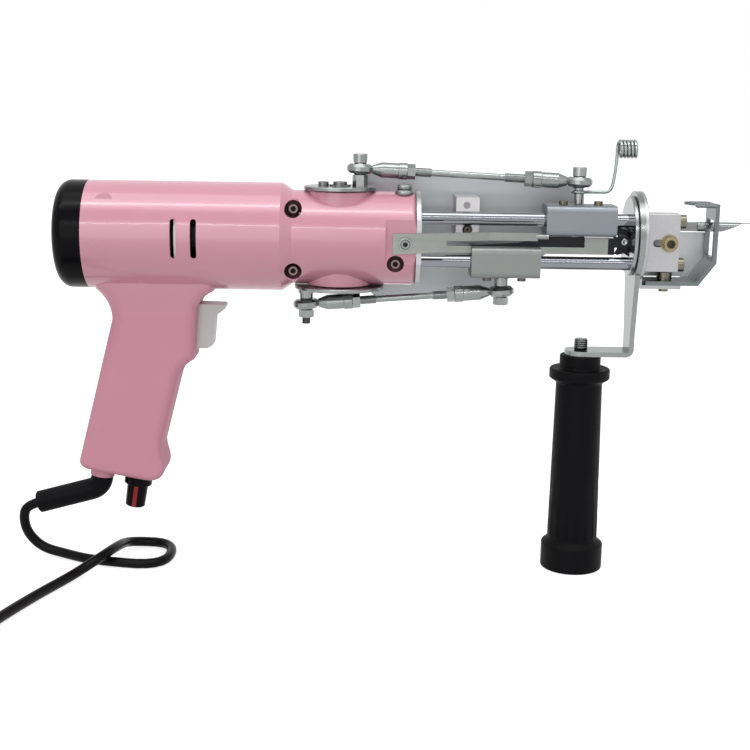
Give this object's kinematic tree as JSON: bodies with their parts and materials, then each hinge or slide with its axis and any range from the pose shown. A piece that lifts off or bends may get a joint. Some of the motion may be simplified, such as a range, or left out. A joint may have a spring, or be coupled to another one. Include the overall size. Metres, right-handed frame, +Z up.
{
  "type": "handheld tufting machine",
  "caption": "Pistol-grip tufting machine with an open crank, rods, needle and scissor sliders, forked foot, side handle and cord.",
  "frame": {"origin": "in the hand grip, on the trigger level, 60 mm below the barrel axis and 113 mm behind the crank shaft", "axes": "+X forward along the barrel to the needle, +Z up, +Y to the far side that carries the guard sheet"},
  "size_m": [0.5424, 0.2537, 0.2688],
  "materials": {
    "pink_shell": "glossy moulded",
    "black_plastic": "satin moulded",
    "light_grey_plastic": "satin moulded",
    "red_plastic": "moulded inlay",
    "white_plastic": "moulded",
    "black_rubber": "moulded rubber",
    "cord_sheath": "smooth sheath",
    "chrome_steel": "ground and polished",
    "zinc_steel": "zinc plated",
    "dark_steel": "black oxide",
    "spring_steel": "ground",
    "anodised_aluminium": "satin anodised",
    "cast_aluminium": "machined casting",
    "grey_sheet": "powder coated",
    "bronze": "sintered bush"
  },
  "bodies": {
    "housing": {"housing_right": "pink_shell", "housing_left": "pink_shell", "rear_cap": "black_plastic", "housing_screws": "dark_steel", "trigger_switch": "black_plastic", "speed_control": "zinc_steel", "cord_guard": "black_rubber", "power_cord": "cord_sheath", "cord_coil": "cord_sheath", "cord_connector": "black_plastic", "cord_tie": "black_plastic", "motor_can": "dark_steel", "motor_carrier": "white_plastic", "gearbox_case": "cast_aluminium", "shaft_bearings": "zinc_steel", "front_plate": "cast_aluminium", "upper_guide_rod": "chrome_steel", "lower_guide_rod": "chrome_steel", "opening_bar": "spring_steel", "guard_sheet": "grey_sheet", "guard_fittings": "zinc_steel", "rear_disc": "zinc_steel", "nose_plate": "zinc_steel", "nose_block": "anodised_aluminium", "nose_screws": "dark_steel", "presser_foot": "zinc_steel"},
    "crank": {"bevel_gear": "zinc_steel", "crank_shaft": "zinc_steel", "top_disc": "zinc_steel", "bottom_disc": "zinc_steel", "disc_screws": "dark_steel", "top_crank_pin": "zinc_steel", "bottom_crank_pin": "zinc_steel"},
    "rotor": {"motor_shaft": "zinc_steel", "bevel_pinion": "zinc_steel"},
    "needle_rod": {"top_rod_ends": "zinc_steel", "top_rod_balls": "chrome_steel", "top_tie_rod": "zinc_steel", "top_lock_nuts": "zinc_steel", "top_rod_bolt": "dark_steel", "yarn_guide": "chrome_steel"},
    "scissor_rod": {"bottom_rod_ends": "zinc_steel", "bottom_rod_balls": "chrome_steel", "bottom_tie_rod": "zinc_steel", "bottom_lock_nuts": "zinc_steel", "bottom_rod_bolt": "zinc_steel"},
    "needle_carriage": {"needle_slider": "anodised_aluminium", "needle_slider_fittings": "bronze", "needle_bar": "spring_steel", "needle": "chrome_steel"},
    "scissor_carriage": {"scissor_slider": "anodised_aluminium", "scissor_slider_fittings": "bronze", "scissor_carrier": "spring_steel"},
    "upper_blade": {"upper_scissor_blade": "spring_steel"},
    "lower_blade": {"lower_scissor_blade": "spring_steel"},
    "trigger_piece": {"trigger": "light_grey_plastic"},
    "speed_dial": {"speed_knob": "black_plastic", "knob_line": "red_plastic"},
    "handle": {"handle_bracket": "zinc_steel", "side_grip": "black_rubber"}
  },
  "joints": [
    {"name": "crank_turn", "type": "hinge", "parent": "housing", "child": "crank", "pos_m": [0.113, 0, 0.06], "axis": [0, 0, -1], "range_deg": [0, 180]},
    {"name": "motor_turn", "type": "hinge", "parent": "housing", "child": "rotor", "pos_m": [0.113, 0, 0.06], "axis": [1, 0, 0], "range_deg": [0, 540]},
    {"name": "needle_rod_turn", "type": "hinge", "parent": "crank", "child": "needle_rod", "pos_m": [0.125, 0, 0.1014], "axis": [0, 0, -1], "range_deg": [-180, 0]},
    {"name": "scissor_rod_turn", "type": "hinge", "parent": "crank", "child": "scissor_rod", "pos_m": [0.093, 0, 0.0191], "axis": [0, 0, -1], "range_deg": [-180, 0]},
    {"name": "needle_slide", "type": "slide", "parent": "housing", "child": "needle_carriage", "axis": [1, 0, 0], "range_m": [-0.024, 0]},
    {"name": "scissor_slide", "type": "slide", "parent": "housing", "child": "scissor_carriage", "axis": [1, 0, 0], "range_m": [0, 0.04]},
    {"name": "upper_blade_turn", "type": "hinge", "parent": "scissor_carriage", "child": "upper_blade", "pos_m": [0.289, 0, 0.06], "axis": [0, 1, 0], "range_deg": [0, 7]},
    {"name": "lower_blade_turn", "type": "hinge", "parent": "scissor_carriage", "child": "lower_blade", "pos_m": [0.289, 0, 0.06], "axis": [0, -1, 0], "range_deg": [0, 7]},
    {"name": "trigger_pull", "type": "slide", "parent": "housing", "child": "trigger_piece", "axis": [-1, 0, 0], "range_m": [0, 0.006], "stiffness_N_per_m": 400, "springref_m": -0.005},
    {"name": "speed_turn", "type": "hinge", "parent": "housing", "child": "speed_dial", "pos_m": [-0.0116, 0, -0.0901], "axis": [-0.1513, 0, -0.9885], "range_deg": [0, 300]},
    {"name": "handle_swing", "type": "hinge", "parent": "housing", "child": "handle", "pos_m": [0.292, 0, 0.0634], "axis": [1, 0, 0], "range_deg": [-90, 90]}
  ],
  "couplings": [
    {"joint": "motor_turn", "follows": "crank_turn", "ratio": 3},
    {"joint": "needle_rod_turn", "follows": "crank_turn", "ratio": -1},
    {"joint": "scissor_rod_turn", "follows": "crank_turn", "ratio": -1},
    {"joint": "needle_slide", "follows": "crank_turn", "m_per_rad": -0.0076394},
    {"joint": "scissor_slide", "follows": "crank_turn", "m_per_rad": 0.012732},
    {"joint": "upper_blade_turn", "follows": "crank_turn", "ratio": 0.038889},
    {"joint": "lower_blade_turn", "follows": "crank_turn", "ratio": 0.038889}
  ]
}
